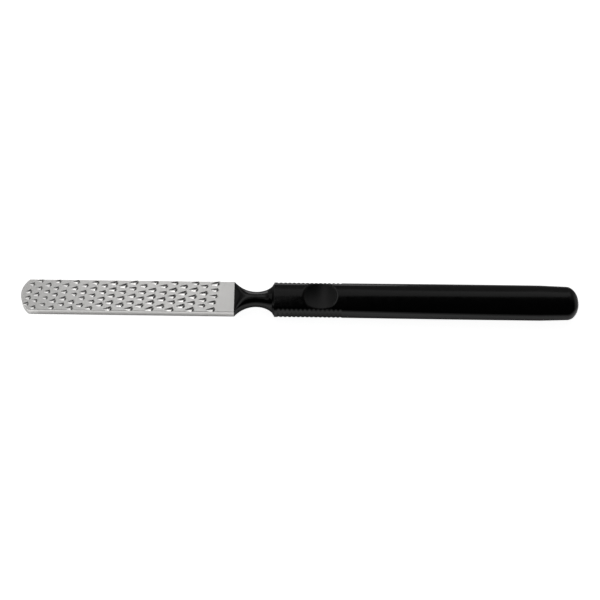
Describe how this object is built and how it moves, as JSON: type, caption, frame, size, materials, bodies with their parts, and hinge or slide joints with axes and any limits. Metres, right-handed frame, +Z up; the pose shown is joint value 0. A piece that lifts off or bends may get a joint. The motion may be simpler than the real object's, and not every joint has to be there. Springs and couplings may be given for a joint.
{
  "type": "foot file",
  "caption": "Foot file: flat steel rasp blade with punched teeth and a rounded tip, set in a waisted glossy plastic handle with serrated sides and a thumb hollow.",
  "frame": {"origin": "middle of the bounding box's underside, on the surface that the tool is laid on", "axes": "+X from the blade's tip along the tool to the handle's tail, +Z up out of the toothed face"},
  "size_m": [0.25, 0.0168, 0.0094],
  "materials": {
    "nickel_steel": "satin nickel plate on hardened steel",
    "black_plastic": "glossy black moulded plastic",
    "cured_epoxy": "cured amber epoxy"
  },
  "bodies": {
    "root": {"rasp_blade": "nickel_steel", "handle": "black_plastic", "tang_adhesive": "cured_epoxy"}
  },
  "joints": []
}
